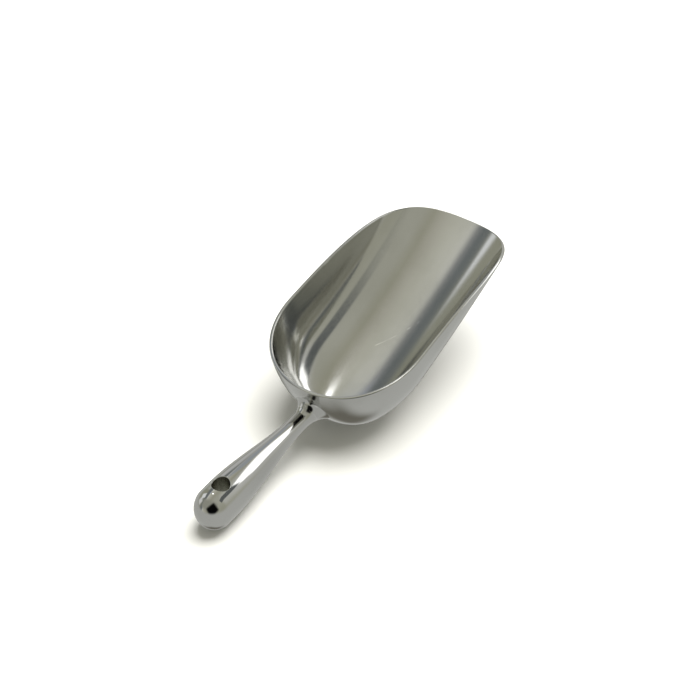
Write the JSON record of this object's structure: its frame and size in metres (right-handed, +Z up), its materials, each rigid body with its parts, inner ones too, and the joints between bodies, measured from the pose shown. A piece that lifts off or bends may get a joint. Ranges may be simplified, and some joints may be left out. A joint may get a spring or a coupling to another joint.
{
  "type": "ice scoop",
  "caption": "Polished cast aluminium ice scoop with a round-bottomed bowl, a swept rim and a solid grip handle with a hang hole.",
  "frame": {"origin": "centre of the scoop's length and width at table level, with the scoop at rest on its heel and grip", "axes": "+Y from the mouth towards the end of the grip, +X across the bowl, +Z up from the table"},
  "size_m": [0.0964, 0.2702, 0.0636],
  "materials": {
    "bowl_metal": "cast, polished inside and out",
    "handle_metal": "cast, mirror polished",
    "weld_metal": "weld bead, dressed and polished"
  },
  "bodies": {
    "root": {"bowl": "bowl_metal", "handle": "handle_metal", "weld_fillet": "weld_metal"}
  },
  "joints": []
}
